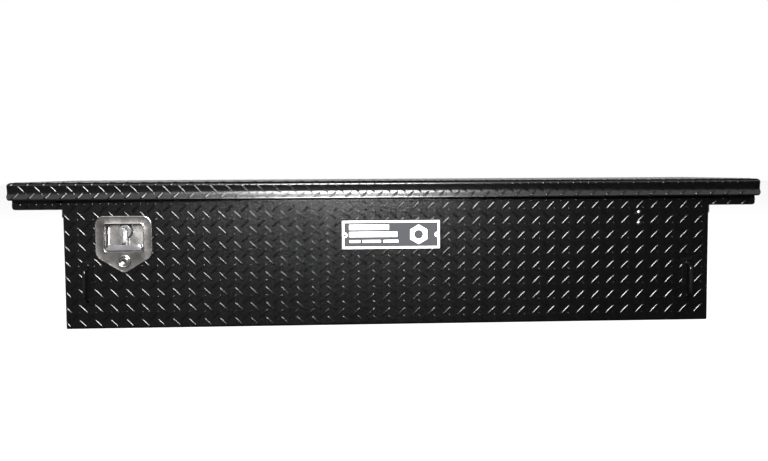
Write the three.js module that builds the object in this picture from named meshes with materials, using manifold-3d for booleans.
// Low-profile crossover truck tool box: a tread-plate tub with two saddle wings that sit on the bed rails,
// a single lid on a full-length hinge, two gas springs, and a recessed pull handle that turns a cross shaft
// with two latch hooks. Millimetres, +Z up, +X to the right, front towards -Y, origin below the centre.
import * as THREE from "three";
import { mergeVertices } from "three/addons/utils/BufferGeometryUtils.js";
import Module from "manifold-3d";

const wasm = await Module();
wasm.setup();

// Driving dimensions.
const SHEET = 3; // thickness of the aluminium tread plate
const GAP = 0.3; // running gap left between touching pieces
const FACE = -226; // outer face of the tub's front
const BACK = 246; // outer face of the tub's back
const BODY_HALF = 769.5; // half the tub's width below the wings
const WING_HALF = 885.5; // half the width over the wings
const WING_UNDER = 281.5; // underside of the wings, where the bed rails bear
const RIM_TOP = 298;
const BEND = 5; // outer radius of the tub's bottom bends
const RING_X = 865.5; // outer side of the rain lip at the ends
const RING_FRONT = -203;
const RING_BACK = 238;
const LIP_TOP = 326; // top of the rain lip
const LID_HALF = 889;
const LID_FRONT = -254;
const LID_TOP = 346;
const LIP_BOTTOM = 304;
const LID_UNDER = LID_TOP - SHEET;
const HINGE_Y = 249.9;
const HINGE_Z = 299;
const HANDLE_X = -631.5;
const PIVOT_Y = -212; // cross pin of the pull handle
const PIVOT_Z = 229;
const SHAFT_Y = -165; // cross shaft that carries the hooks
const SHAFT_Z = 222;
const HOOK_X = 515;
const BRACKET_X = 560;
const LOCK_Z = 158.7;
const STRUT_X = 735;
const STRUT_Y = 183.5;
const STRUT_LOW = 152;
const STRUT_HIGH = 312;

const COATED = { color: 0x0b0b0c, roughness: 0.42, metalness: 0.1 };
const STAINLESS = { color: 0xc4c5c6, roughness: 0.22, metalness: 1 };
const ZINC = { color: 0x9a9c9e, roughness: 0.4, metalness: 1 };
const RUBBER = { color: 0x121212, roughness: 0.9, metalness: 0 };
const STRUT_BLACK = { color: 0x0d0d0d, roughness: 0.35, metalness: 0.2 };
const PLATE_GREY = { color: 0x3a3b3d, roughness: 0.5, metalness: 0.1 };

const tool_box = new THREE.Group();

// Closed geometry to manifold solid and back.
function solid(geometry) {
  const bare = geometry.index ? geometry.toNonIndexed() : geometry.clone();
  bare.deleteAttribute("normal");
  bare.deleteAttribute("uv");
  const merged = mergeVertices(bare, 1e-4);
  return new wasm.Manifold(
    new wasm.Mesh({
      numProp: 3,
      vertProperties: merged.attributes.position.array,
      triVerts: new Uint32Array(merged.index.array),
    }),
  );
}

function geometryOf(manifold) {
  const mesh = manifold.getMesh();
  const geometry = new THREE.BufferGeometry();
  geometry.setAttribute("position", new THREE.BufferAttribute(mesh.vertProperties, 3));
  geometry.setIndex(new THREE.BufferAttribute(mesh.triVerts, 1));
  return geometry;
}

function add(name, shape, finish) {
  const geometry = shape instanceof THREE.BufferGeometry ? shape : geometryOf(shape);
  const mesh = new THREE.Mesh(geometry, new THREE.MeshStandardMaterial(finish));
  mesh.name = name;
  tool_box.add(mesh);
}

const join = (...solids) => solids.reduce((all, next) => all.add(next));
const cut = (from, ...tools) => tools.reduce((left, next) => left.subtract(next), from);

// A box given by its lowest and highest corners.
function block(x0, x1, y0, y1, z0, z1) {
  const geometry = new THREE.BoxGeometry(x1 - x0, y1 - y0, z1 - z0);
  return solid(geometry.translate((x0 + x1) / 2, (y0 + y1) / 2, (z0 + z1) / 2));
}

// A round bar along one axis, centred on (x, y, z).
function bar(axis, radius, length, x, y, z, sides = 20) {
  const geometry = new THREE.CylinderGeometry(radius, radius, length, sides);
  if (axis === "x") geometry.rotateZ(Math.PI / 2);
  if (axis === "z") geometry.rotateX(Math.PI / 2);
  return solid(geometry.translate(x, y, z));
}

// An outline in (y, z) extruded along X, from x0 to x1.
function alongX(shape, x0, x1, curveSegments = 6) {
  const geometry = new THREE.ExtrudeGeometry(shape, { depth: x1 - x0, bevelEnabled: false, curveSegments });
  geometry.rotateX(Math.PI / 2).rotateZ(Math.PI / 2);
  return solid(geometry.translate(x0, 0, 0));
}

// An outline in (x, z) extruded along Y, from y0 to y1.
function alongY(shape, y0, y1, curveSegments = 6) {
  const geometry = new THREE.ExtrudeGeometry(shape, { depth: y1 - y0, bevelEnabled: false, curveSegments });
  return solid(geometry.rotateX(Math.PI / 2).translate(0, y1, 0));
}

function outline(...points) {
  return new THREE.Shape(points.map(([a, b]) => new THREE.Vector2(a, b)));
}

// The tub's front and back: a T-shaped sheet with a return flange bent in under the floor.
function tubSheet(face, inward) {
  const inner = face + inward * SHEET;
  const deep = face + inward * 30;
  const bent = new THREE.Shape();
  bent.moveTo(face, WING_UNDER + 1);
  bent.lineTo(face, BEND);
  bent.quadraticCurveTo(face, 0, face + inward * BEND, 0);
  bent.lineTo(deep, 0);
  bent.lineTo(deep, SHEET);
  bent.lineTo(face + inward * BEND, SHEET);
  bent.quadraticCurveTo(inner, SHEET, inner, BEND);
  bent.lineTo(inner, WING_UNDER + 1);
  const r = 8;
  const wings = new THREE.Shape();
  wings.moveTo(-WING_HALF, RIM_TOP);
  wings.lineTo(-WING_HALF, WING_UNDER + r);
  wings.quadraticCurveTo(-WING_HALF, WING_UNDER, -WING_HALF + r, WING_UNDER);
  wings.lineTo(WING_HALF - r, WING_UNDER);
  wings.quadraticCurveTo(WING_HALF, WING_UNDER, WING_HALF, WING_UNDER + r);
  wings.lineTo(WING_HALF, RIM_TOP);
  const strip = alongY(wings, Math.min(face, inner), Math.max(face, inner));
  return join(alongX(bent, -BODY_HALF, BODY_HALF), strip);
}

const panHole = block(HANDLE_X - 46.5, HANDLE_X + 46.5, FACE - 1, FACE + 4, 177.6, 252.4);
const lockHole = bar("y", 10.5, 10, HANDLE_X, FACE, LOCK_Z);
add("front_panel", cut(tubSheet(FACE, 1), panHole, lockHole), COATED);
add("back_panel", tubSheet(BACK, -1), COATED);

const floorFront = FACE + SHEET + 2.5;
const floorBack = BACK - SHEET - 2.5;
const floorHalf = BODY_HALF - SHEET - GAP;
const floorTop = 2 * SHEET + GAP;
const floor = block(-floorHalf, floorHalf, floorFront, floorBack, SHEET + GAP, floorTop);
add("floor_panel", floor, COATED);

// The ends of the tub, and the saddles: a shelf with a flange welded down the end wall and an upstand.
const endFront = FACE + SHEET + GAP;
const endBack = BACK - SHEET - GAP;
function saddleOutline(side) {
  const shape = new THREE.Shape();
  const wall = BODY_HALF + GAP;
  const flange = wall + SHEET;
  const outer = WING_HALF;
  shape.moveTo(side * (BODY_HALF - SHEET), WING_UNDER + SHEET);
  shape.lineTo(side * (BODY_HALF - SHEET), WING_UNDER);
  shape.lineTo(side * wall, WING_UNDER);
  shape.lineTo(side * wall, WING_UNDER - 16);
  shape.lineTo(side * flange, WING_UNDER - 16);
  shape.lineTo(side * flange, WING_UNDER);
  shape.lineTo(side * (outer - 8), WING_UNDER);
  shape.quadraticCurveTo(side * outer, WING_UNDER, side * outer, WING_UNDER + 8);
  shape.lineTo(side * outer, RIM_TOP - SHEET - GAP);
  shape.lineTo(side * (outer - SHEET), RIM_TOP - SHEET - GAP);
  shape.lineTo(side * (outer - SHEET), WING_UNDER + 8);
  shape.quadraticCurveTo(side * (outer - SHEET), WING_UNDER + SHEET, side * (outer - 8), WING_UNDER + SHEET);
  return shape;
}

// The rim: a flange round the top of the tub with a rain lip standing up at its inner edge.
function rimOutline(outer, lip) {
  const inward = Math.sign(lip - outer);
  return outline(
    [outer, RIM_TOP - SHEET],
    [outer, RIM_TOP],
    [lip - inward * SHEET, RIM_TOP],
    [lip - inward * SHEET, LIP_TOP],
    [lip, LIP_TOP],
    [lip, RIM_TOP - SHEET],
  );
}
for (const [side, label] of [
  [-1, "left"],
  [1, "right"],
]) {
  const inner = side * (BODY_HALF - SHEET);
  const outer = side * BODY_HALF;
  const wallTop = WING_UNDER - GAP;
  const wallBottom = floorTop + GAP;
  const x0 = Math.min(inner, outer);
  add("end_wall_" + label, block(x0, x0 + SHEET, endFront, endBack, wallBottom, wallTop), COATED);
  add("saddle_" + label, alongY(saddleOutline(side), endFront, endBack), COATED);
  const rim = rimOutline(side * WING_HALF, side * (RING_X - SHEET));
  add("rim_" + label, alongY(rim, endFront, endBack), COATED);
}
const rimHalf = RING_X - SHEET - GAP;
const lipFront = RING_FRONT + SHEET;
const lipBack = RING_BACK - SHEET;
add("rim_front", alongX(rimOutline(endFront, lipFront), -rimHalf, rimHalf), COATED);
add("rim_back", alongX(rimOutline(endBack, lipBack), -rimHalf, rimHalf), COATED);

// The bulb seal that stands on the rain lip and meets the lid.
const sealLow = LIP_TOP + GAP;
const sealHigh = LID_UNDER - GAP;
const sealOuter = block(-RING_X - 2, RING_X + 2, RING_FRONT - 2, RING_BACK + 2, sealLow, sealHigh);
const sealInner = block(-RING_X + 7, RING_X - 7, RING_FRONT + 7, RING_BACK - 7, sealLow - 1, sealHigh + 1);
add("lid_seal", cut(sealOuter, sealInner), RUBBER);

// The lid: a top sheet with a lip bent down all round. The lip leans in a little below the top bend, kicks out
// again as a drip edge, and ends in a rounded hem. The back lip is plain, because the hinge lies on it.
const WAIST = 1.4; // how far the lip leans in at its waist
const TOP_BEND = 7;
const FRONT_KICK = 2.6; // how far the drip edge stands out past the lip, at the front
const END_KICK = 0.4; // and at the ends

// One lip as points of (distance out past the lip, height), from the top sheet down, on its outer or inner side.
function lipLine(kick, sheet) {
  const line = [];
  for (let i = 0; i <= 4; i++) {
    const turn = (i * Math.PI) / 8;
    const radius = TOP_BEND - sheet;
    line.push([radius * Math.sin(turn) - TOP_BEND, LID_TOP - TOP_BEND + radius * Math.cos(turn)]);
  }
  line.push([-WAIST - sheet, 323], [-WAIST / 2 - sheet, 318], [kick * 0.7 - sheet, 311], [kick - sheet, 307]);
  line.push([kick - sheet, LIP_BOTTOM - sheet]);
  return line;
}

// The solid under the lid's outer or inner surface: what lies inside both the lengthwise and crosswise outlines.
function underLid(sheet) {
  const front = lipLine(FRONT_KICK, sheet).map(([out, z]) => [LID_FRONT + FRONT_KICK - out, z]);
  const back = [
    [BACK - sheet, LIP_BOTTOM - sheet],
    [BACK - sheet, LID_TOP - sheet],
  ];
  const end = LID_HALF - END_KICK;
  const right = lipLine(END_KICK, sheet).map(([out, z]) => [end + out, z]);
  const left = lipLine(END_KICK, sheet).map(([out, z]) => [-end - out, z]);
  const crosswise = alongX(outline(...front, ...back), -LID_HALF - 1, LID_HALF + 1);
  const lengthwise = alongY(outline(...right.reverse(), ...left), LID_FRONT - 1, BACK + 1);
  return crosswise.intersect(lengthwise);
}
const lidSkin = cut(underLid(0), underLid(SHEET));
add("lid_skin", lidSkin, COATED);

// Hat-section stiffeners welded under the lid, front to back.
function hatOutline(x) {
  const top = LID_UNDER - GAP;
  const crown = top - 18;
  return outline(
    [x - 40, top],
    [x - 40, top - 2],
    [x - 22, top - 2],
    [x - 16, crown],
    [x + 16, crown],
    [x + 22, top - 2],
    [x + 40, top - 2],
    [x + 40, top],
    [x + 20.5, top],
    [x + 14.6, crown + 2],
    [x - 14.6, crown + 2],
    [x - 20.5, top],
  );
}
for (const [x, label] of [
  [-330, "left"],
  [0, "center"],
  [330, "right"],
])
  add("lid_stiffener_" + label, alongY(hatOutline(x), -180, 200), COATED);

// The full-length hinge: two leaves whose knuckles take turns on one pin.
const KNUCKLES = 15;
const KNUCKLE_PITCH = 116;
const KNUCKLE_R = 3.6;
const BORE_R = 2.4;
const PIN_R = 2;
const LEAF = 1.5;
const hingeHalf = (KNUCKLES * KNUCKLE_PITCH) / 2;
function hingeLeaf(low, high, first, toward) {
  const inner = BACK + GAP;
  let leaf = block(-hingeHalf, hingeHalf, inner, inner + LEAF, low, high);
  for (let i = first; i < KNUCKLES; i += 2) {
    const x0 = -hingeHalf + i * KNUCKLE_PITCH + 0.4;
    const x1 = x0 + KNUCKLE_PITCH - 0.8;
    const middle = (x0 + x1) / 2;
    const z = [HINGE_Z, toward].sort((a, b) => a - b);
    const tab = block(x0, x1, inner, inner + LEAF, z[0], z[1]);
    const knuckle = bar("x", KNUCKLE_R, x1 - x0, middle, HINGE_Y, HINGE_Z, 12);
    leaf = join(leaf, tab, knuckle);
  }
  return cut(leaf, bar("x", BORE_R, 2 * hingeHalf + 2, 0, HINGE_Y, HINGE_Z, 12));
}
const knuckleRoom = KNUCKLE_R + 0.4;
add("hinge_leaf_body", hingeLeaf(266, HINGE_Z - knuckleRoom, 0, HINGE_Z - knuckleRoom), ZINC);
add("hinge_leaf_lid", hingeLeaf(HINGE_Z + 5, 332, 1, HINGE_Z + 5), ZINC);
add("hinge_pin", bar("x", PIN_R, 2 * hingeHalf - 2, 0, HINGE_Y, HINGE_Z, 12), ZINC);

// The recessed handle: a five-sided dished plate with a rectangular pan pressed into it.
const plateFront = FACE - 3.2;
const plateBack = FACE - GAP;
function handlePlate(half, top, shoulder, tip, corner) {
  const x = HANDLE_X;
  const shape = new THREE.Shape();
  shape.moveTo(x - half + corner, top);
  shape.quadraticCurveTo(x - half, top, x - half, top - corner);
  shape.lineTo(x - half, shoulder + 8);
  shape.quadraticCurveTo(x - half, shoulder, x - half + 12, shoulder - 9);
  shape.lineTo(x - 14, tip + 8);
  shape.quadraticCurveTo(x, tip - 4, x + 14, tip + 8);
  shape.lineTo(x + half - 12, shoulder - 9);
  shape.quadraticCurveTo(x + half, shoulder, x + half, shoulder + 8);
  shape.lineTo(x + half, top - corner);
  shape.quadraticCurveTo(x + half, top, x + half - corner, top);
  return shape;
}
const panBack = -202;
const pan = join(
  alongY(handlePlate(66.5, 267, 172, 133, 22), plateFront, plateBack, 4),
  block(HANDLE_X - 45, HANDLE_X + 45, plateFront + 1, panBack, 179, 251),
  bar("y", 15.5, 4, HANDLE_X, plateFront - 1, LOCK_Z),
);
add(
  "handle_pan",
  cut(
    pan,
    block(HANDLE_X - 43.4, HANDLE_X + 43.4, plateFront - 1, panBack - 1.6, 180.6, 249.4),
    block(HANDLE_X - 7, HANDLE_X + 7, panBack - 3, panBack + 3, 212, 240),
    bar("y", 9.8, 20, HANDLE_X, plateFront, LOCK_Z),
  ),
  STAINLESS,
);

// The round hub in the pan carries the cross pin that the pull handle swings on.
const hubBack = panBack - 1.6 - GAP;
const hub = bar("y", 15.5, 14, HANDLE_X, hubBack - 7, PIVOT_Z, 28);
const slot = block(HANDLE_X - 5.6, HANDLE_X + 5.6, hubBack - 20, hubBack + 2, 205, 238);
const pinBore = bar("x", 2.6, 40, HANDLE_X, PIVOT_Y, PIVOT_Z, 16);
add("handle_hub", cut(hub, slot, pinBore), STAINLESS);
add("grip_pin", bar("x", 2.2, 28, HANDLE_X, PIVOT_Y, PIVOT_Z, 16), STAINLESS);

// The pull handle: a stem bent down from the pin to a wide bar, and a tail that reaches in through the pan.
const stem = outline(
  [PIVOT_Y - 5, PIVOT_Z + 5],
  [PIVOT_Y - 6, PIVOT_Z - 4],
  [-222, 205],
  [-231, 196],
  [-231, 188],
  [-222, 188],
  [-215, 203],
  [PIVOT_Y + 2, PIVOT_Z - 6],
  [-197.5, PIVOT_Z - 2.5],
  [-195.5, PIVOT_Z],
  [-197.5, PIVOT_Z + 3],
  [PIVOT_Y + 3, PIVOT_Z + 5],
);
const grip = outline(
  [HANDLE_X - 41, 184.6],
  [HANDLE_X + 41, 184.6],
  [HANDLE_X + 41, 189],
  [HANDLE_X + 34, 198.5],
  [HANDLE_X - 34, 198.5],
  [HANDLE_X - 41, 189],
);
add(
  "t_grip",
  cut(
    join(alongX(stem, HANDLE_X - 5, HANDLE_X + 5), alongY(grip, -232, -221.5)),
    bar("x", 2.5, 40, HANDLE_X, PIVOT_Y, PIVOT_Z, 16),
  ),
  STAINLESS,
);

// The keyed lock below the pan, and the cam behind it that stands in the drive arm's way when it is locked.
add("lock_cylinder", bar("y", 9.5, 34, HANDLE_X, plateFront + 13, LOCK_Z, 28), STAINLESS);
const camBack = plateFront + 30 + GAP;
const cam = outline(
  [HANDLE_X - 9, LOCK_Z - 9],
  [HANDLE_X - 9, LOCK_Z + 9],
  [HANDLE_X + 24, LOCK_Z + 6],
  [HANDLE_X + 24, LOCK_Z - 6],
);
add("lock_cam", alongY(cam, camBack, camBack + 3), ZINC);

// The cross shaft behind the front panel: it turns in two brackets and carries the drive arm and both hooks.
const shaftHalf = 645;
add("cross_shaft", bar("x", 6, 2 * shaftHalf, 0, SHAFT_Y, SHAFT_Z, 16), ZINC);
const shaftBore = (r) => bar("x", r, 60, 0, SHAFT_Y, SHAFT_Z, 16);
const onShaft = (shape, x, width, r) =>
  cut(alongX(shape, x - width / 2, x + width / 2), shaftBore(r).translate(x, 0, 0));
const driveArm = outline(
  [SHAFT_Y - 9, SHAFT_Z - 10],
  [SHAFT_Y + 10, SHAFT_Z - 10],
  [SHAFT_Y + 10, SHAFT_Z + 10],
  [SHAFT_Y - 9, SHAFT_Z + 10],
  [SHAFT_Y - 12, SHAFT_Z + 3],
  [SHAFT_Y - 34, SHAFT_Z + 3],
  [SHAFT_Y - 34, SHAFT_Z - 30],
  [SHAFT_Y - 28, SHAFT_Z - 30],
  [SHAFT_Y - 26, SHAFT_Z - 6],
);
add("drive_arm", onShaft(driveArm, HANDLE_X, 8, 6 + GAP), ZINC);

const hook = outline(
  [SHAFT_Y - 9, SHAFT_Z - 10],
  [SHAFT_Y + 9, SHAFT_Z - 10],
  [SHAFT_Y + 9, SHAFT_Z + 12],
  [SHAFT_Y + 5, SHAFT_Z + 60],
  [SHAFT_Y + 5, SHAFT_Z + 90],
  [SHAFT_Y + 18, SHAFT_Z + 90],
  [SHAFT_Y + 18, SHAFT_Z + 93],
  [SHAFT_Y + 4, SHAFT_Z + 101],
  [SHAFT_Y - 5, SHAFT_Z + 101],
  [SHAFT_Y - 6, SHAFT_Z + 60],
  [SHAFT_Y - 9, SHAFT_Z + 12],
);
// Striker on the lid: a base plate, two legs and the bar that the hook's nose closes over.
const barY = SHAFT_Y + 12;
const barZ = SHAFT_Z + 85;
const bracket = outline(
  [FACE + SHEET + GAP, SHAFT_Z + 22],
  [FACE + SHEET + GAP, SHAFT_Z - 22],
  [FACE + SHEET + GAP + 4, SHAFT_Z - 22],
  [SHAFT_Y - 2, SHAFT_Z - 13],
  [SHAFT_Y + 11, SHAFT_Z - 13],
  [SHAFT_Y + 11, SHAFT_Z + 13],
  [SHAFT_Y - 2, SHAFT_Z + 13],
  [FACE + SHEET + GAP + 4, SHAFT_Z + 22],
);
for (const [side, label] of [
  [-1, "left"],
  [1, "right"],
]) {
  const x = side * HOOK_X;
  add("latch_hook_" + label, onShaft(hook, x, 6, 6 + GAP), ZINC);
  const striker = join(
    block(x - 24, x + 24, barY - 12, barY + 12, LID_UNDER - GAP - 4, LID_UNDER - GAP),
    block(x - 12, x - 9, barY - 7, barY + 7, barZ - 7, LID_UNDER - GAP - 2),
    block(x + 9, x + 12, barY - 7, barY + 7, barZ - 7, LID_UNDER - GAP - 2),
    bar("x", 3.5, 22, x, barY, barZ, 12),
  );
  add("striker_" + label, striker, ZINC);
  const seatX = side * BRACKET_X;
  const seat = block(seatX - 16, seatX + 16, endFront, endFront + 3, SHAFT_Z - 22, SHAFT_Z + 22);
  add("shaft_bracket_" + label, join(onShaft(bracket, seatX, 4, 6 + GAP), seat), ZINC);
}

// Gas springs: ball studs on the end walls and on the lid, a cylinder below and a rod above.
const studR = 3;
const eyeR = 8.4; // the rod's eye is wide, because its pivot is the open one of this linkage
for (const [side, label] of [
  [-1, "left"],
  [1, "right"],
]) {
  const x = side * STRUT_X;
  const wall = side * (BODY_HALF - SHEET - GAP);
  const foot = wall - side * 1.5;
  const lowStud = join(
    bar("x", studR, Math.abs(wall - x) + 8, (wall + x) / 2 - side * 4, STRUT_Y, STRUT_LOW, 14),
    block(foot - 1.5, foot + 1.5, STRUT_Y - 16, STRUT_Y + 16, STRUT_LOW - 18, STRUT_LOW + 18),
  );
  add("strut_stud_lower_" + label, lowStud, ZINC);
  const plateTop = LID_UNDER - GAP;
  const ear = x + side * 14;
  const highStud = join(
    block(ear - 14, ear + 14, STRUT_Y - 16, STRUT_Y + 16, plateTop - 3, plateTop),
    block(ear - 2, ear + 2, STRUT_Y - 8, STRUT_Y + 8, STRUT_HIGH - 8, plateTop - 2),
    bar("x", studR, 24, x + side * 4, STRUT_Y, STRUT_HIGH, 14),
  );
  add("strut_stud_upper_" + label, highStud, ZINC);
  const lowEye = bar("x", 7, 10, x, STRUT_Y, STRUT_LOW, 16);
  const barrel = bar("z", 8, 90, x, STRUT_Y, STRUT_LOW + 5 + 45, 16);
  const cylinder = cut(
    join(lowEye, barrel),
    bar("x", studR + 0.4, 12, x, STRUT_Y, STRUT_LOW, 14),
    bar("z", 4.6, 90, x, STRUT_Y, STRUT_LOW + 5 + 52, 14),
  );
  add("strut_cylinder_" + label, cylinder, STRUT_BLACK);
  const highEye = bar("x", eyeR + 4, 8, x, STRUT_Y, STRUT_HIGH, 18);
  const rodLength = STRUT_HIGH - STRUT_LOW - 26;
  const rod = bar("z", 4, rodLength, x, STRUT_Y, STRUT_HIGH - 9 - rodLength / 2, 14);
  const rodHole = bar("x", eyeR, 12, x, STRUT_Y, STRUT_HIGH, 18);
  add("strut_rod_" + label, cut(join(highEye, rod), rodHole), STAINLESS);
}

// Fittings on the front: tie-down bows on their plates, the name plate, and rivets.
const BOW_OUT = 28; // how far the bows stand off the face
for (const [x, z, label] of [
  [-717.5, 107.5, "left"],
  [718.5, 100.5, "right"],
]) {
  const plate = block(x - 12.5, x + 12.5, FACE - GAP - 3, FACE - GAP, z - 51.5, z + 51.5);
  add("tie_down_plate_" + label, plate, COATED);
  const near = FACE - 2 * GAP - 3;
  const far = FACE - BOW_OUT;
  const bow = outline(
    [near, z + 45],
    [far + 3, z + 30],
    [far, z + 27],
    [far, z - 27],
    [far + 3, z - 30],
    [near, z - 45],
    [near, z - 36],
    [far + 8, z - 24],
    [far + 8, z + 24],
    [near, z + 36],
  );
  add("tie_down_bow_" + label, alongX(bow, x - 4, x + 4), COATED);
}
const NAME_X = -3.9;
const NAME_Z = 216.5;
const namePlate = block(NAME_X - 116.5, NAME_X + 116.5, FACE - GAP - 1.5, FACE - GAP, NAME_Z - 33.5, NAME_Z + 33.5);
add("name_plate", namePlate, PLATE_GREY);

// A rivet with a domed head, its shank's end flush with the face it is set against.
function rivet(x, z, face, radius, height) {
  const profile = [new THREE.Vector2(0, 0), new THREE.Vector2(radius, 0)];
  for (let i = 1; i <= 4; i++) {
    const t = (i * Math.PI) / 8;
    profile.push(new THREE.Vector2(i < 4 ? radius * Math.cos(t) : 0, height * Math.sin(t)));
  }
  return solid(new THREE.LatheGeometry(profile, 16).rotateX(Math.PI).translate(x, face, z));
}
for (const [x, label] of [
  [NAME_X - 110.5, "left"],
  [NAME_X + 110.5, "right"],
])
  add("name_rivet_" + label, rivet(x, NAME_Z - 0.5, FACE - 2 * GAP - 1.5, 3.5, 1.6), STAINLESS);
for (const [z, label] of [
  [264.6, "upper"],
  [238.7, "lower"],
])
  add("panel_rivet_" + label, rivet(598, z, FACE - GAP, 6.3, 3.4), STAINLESS);

export default tool_box;
